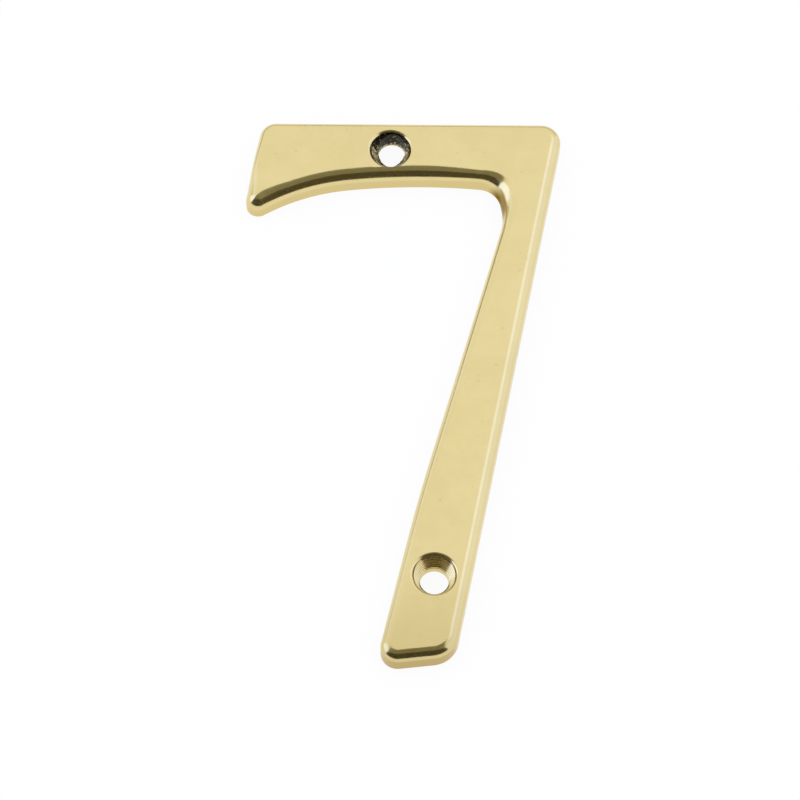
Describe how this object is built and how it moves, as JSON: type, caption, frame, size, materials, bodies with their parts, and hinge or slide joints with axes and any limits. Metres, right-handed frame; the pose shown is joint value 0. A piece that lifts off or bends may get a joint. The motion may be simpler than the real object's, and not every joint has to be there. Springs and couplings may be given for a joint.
{
  "type": "brass door number",
  "caption": "Cast brass door numeral seven with a rounded front edge, a flat back and countersunk screw holes.",
  "frame": {"origin": "middle of the numeral's height and width, on the plane of its flat back", "axes": "+X to the reader's right, +Y up the numeral, +Z out of its polished face"},
  "size_m": [0.041, 0.076, 0.0032],
  "materials": {
    "polished_brass": "polished"
  },
  "bodies": {
    "root": {"numeral": "polished_brass"}
  },
  "joints": []
}
